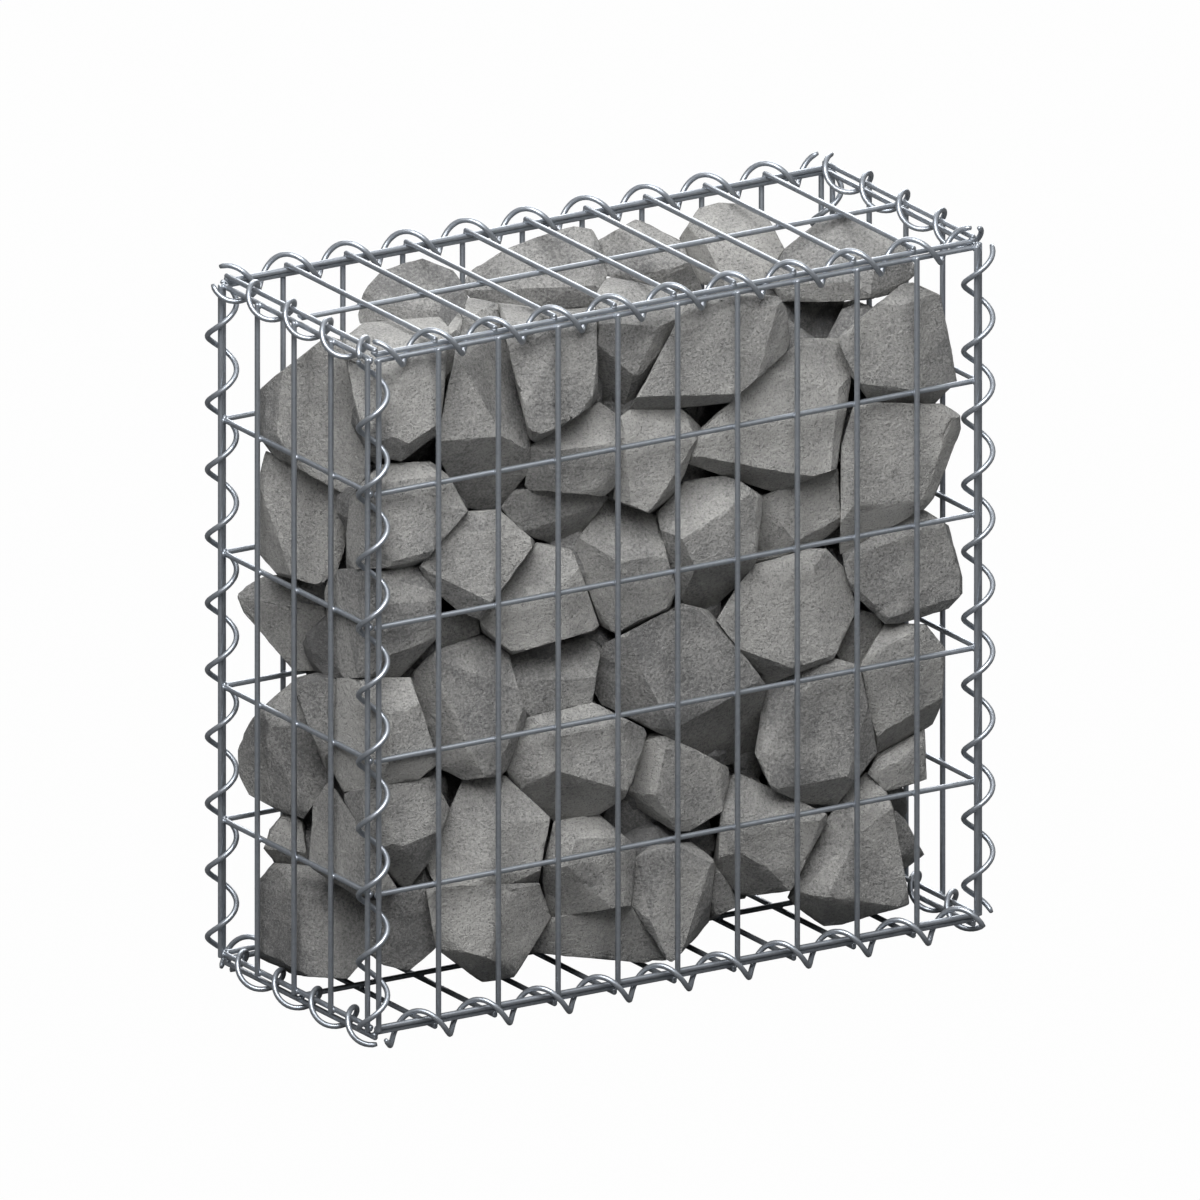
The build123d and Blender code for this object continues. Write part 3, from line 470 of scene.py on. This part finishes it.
# stones inside the fill, seen as dark shapes through the gaps: a loose grid, and a few more behind wide gaps
core = {"reach": (0.190, 0.030, 0.165), "grid": (9, 2, 7), "stray": 0.008, "middle": 0.265,
        "radius": (26 * mm, 35 * mm), "planes": 11, "offsets": (0.62, 0.98), "corner": 1.2, "grazing": 0.25,
        "around": 24, "rows": 14, "poleGap": 0.02,
        "more": ((-0.092, 0.055, 0.466), (-0.195, 0.052, 0.122), (-0.195, 0.050, 0.290), (0.200, -0.030, 0.085),
                 (-0.212, 0.048, 0.106), (-0.192, 0.050, 0.228)), "moreRadius": 27 * mm}


def coreStones():
    # each stone: r(direction) = least of d / (n . direction) over its face planes
    u = np.arange(core["around"]) * 2 * np.pi / core["around"]
    v = np.linspace(core["poleGap"], np.pi - core["poleGap"], core["rows"])
    v, u = np.meshgrid(v, u, indexing="ij")
    direction = np.stack([np.sin(v) * np.cos(u), np.sin(v) * np.sin(u), np.cos(v)], axis=-1)
    first = np.arange(core["rows"] * core["around"]).reshape(core["rows"], core["around"])
    nextOne = np.roll(first, -1, axis=1)
    quads = np.stack([first[:-1], first[1:], nextOne[1:], nextOne[:-1]], axis=-1).reshape(-1, 4).tolist()
    faces = quads + [first[0].tolist(), first[-1, ::-1].tolist()]
    parts = []
    places = np.array(list(np.ndindex(*core["grid"]))) / (np.array(core["grid"]) - 1) * 2 - 1
    places = places * core["reach"] + np.array([0, 0, core["middle"]])
    places = places + dice.uniform(-1, 1, places.shape) * core["stray"]
    sizes = np.append(dice.uniform(*core["radius"], len(places)), [core["moreRadius"]] * len(core["more"]))
    for centre, size in zip(np.concatenate([places, core["more"]]), sizes):
        normals = dice.normal(size=(core["planes"], 3))
        normals = normals / np.linalg.norm(normals, axis=1)[:, None]
        offsets = dice.uniform(*core["offsets"], core["planes"])
        radius = np.min(offsets / np.maximum(direction @ normals.T, core["grazing"]), axis=-1)
        skin = centre + size * np.minimum(radius, core["corner"])[..., None] * direction
        parts.append((np.clip(skin, roomLow, roomHigh).reshape(-1, 3), faces))
    piece = newPiece("coreStones", *joined(parts), stoneFinish, "broken_stone")
    piece.data.polygons.foreach_set("use_smooth", np.zeros(len(piece.data.polygons), bool))


coreStones()
print("inner stones made")


# floor, light and camera
studio = {"white": (1, 1, 1, 1), "skyLow": 0.06, "skyHigh": 0.52, "floor": (0.12, 0.12, 0.12, 1),
          "floorWhite": 0.985, "floorHalf": 12.0}
lights = {  # place, width, power
    "keyLight": ((-1.15, -1.45, 2.75), 2.2, 152.0),
    "fillLight": ((1.9, -1.2, 1.3), 1.5, 4.0),
    "backLight": ((1.3, 1.9, 1.5), 2.2, 62.0),
}
shot = {"azimuth": -31.56, "elevation": 18.0, "width": 855 * mm, "distance": 3.0}


def paleFloor():
    # camera rays see mostly plain white, with a little of the shadow, and other rays a dull floor
    f = Finish("paleFloor")
    ray = f.add("ShaderNodeLightPath", result="Is Camera Ray")
    plain = f.add("ShaderNodeEmission", {}, {"Color": studio["white"], "Strength": 1.0})
    lit = f.add("ShaderNodeBsdfDiffuse", {}, {"Color": studio["floor"]})
    mixed = f.add("ShaderNodeMixShader", {}, {0: ray * studio["floorWhite"], 1: lit, 2: plain})
    material = f.done(mixed)
    size = studio["floorHalf"]
    points = [(-size, -size, 0), (size, -size, 0), (size, size, 0), (-size, size, 0)]
    floorMesh = bpy.data.meshes.new("floor")
    floorMesh.from_pydata(points, [], [(0, 1, 2, 3)])
    floorMesh.materials.append(material)
    floor = bpy.data.objects.new("floor", floorMesh)
    scene.collection.objects.link(floor)


def studioSky():
    # light by height: skyLow at the horizon to skyHigh overhead; camera rays see plain white
    world = bpy.data.worlds.new("studioSky")
    scene.world = world
    f = Finish("studioSky", world)
    way = f.add("ShaderNodeTexCoord", result="Generated")
    up = f.add("ShaderNodeSeparateXYZ", {}, {0: way}, "Z")
    seen = f.add("ShaderNodeLightPath", result="Is Camera Ray")
    light = studio["skyLow"] + (studio["skyHigh"] - studio["skyLow"]) * f.ramp(up, 0.0, 1.0)
    strength = light + seen * (1 - light)
    f.done(f.add("ShaderNodeBackground", {}, {"Color": studio["white"], "Strength": strength}))


def softBox(name, place, width, power):
    # a square lamp turned towards the basket's middle
    lamp = bpy.data.lights.new(name, "AREA")
    lamp.shape = "RECTANGLE"
    lamp.size = lamp.size_y = width
    lamp.energy = power
    light = bpy.data.objects.new(name, lamp)
    light.location = place
    away = np.array(place) - middle
    light.rotation_euler = (math.atan2(math.hypot(away[0], away[1]), away[2]), 0,
                            math.atan2(away[1], away[0]) + math.pi / 2)
    scene.collection.objects.link(light)


frontLow, frontHigh = (np.array(c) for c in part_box("front_panel"))
backLow, backHigh = (np.array(c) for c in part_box("back_panel"))
middle = (np.minimum(frontLow, backLow) + np.maximum(frontHigh, backHigh)) / 2

paleFloor()
studioSky()
for name, (place, width, power) in lights.items():
    softBox(name, place, width, power)

turn, lift = math.radians(shot["azimuth"]), math.radians(shot["elevation"])
back = np.array([math.sin(turn) * math.cos(lift), -math.cos(turn) * math.cos(lift), math.sin(lift)])
camera = bpy.data.objects.new("camera", bpy.data.cameras.new("camera"))
camera.data.type = "ORTHO"
camera.data.ortho_scale = shot["width"]
camera.location = middle + back * shot["distance"]
camera.rotation_euler = (math.pi / 2 - lift, 0, turn)
scene.collection.objects.link(camera)
scene.camera = camera
print("studio made")
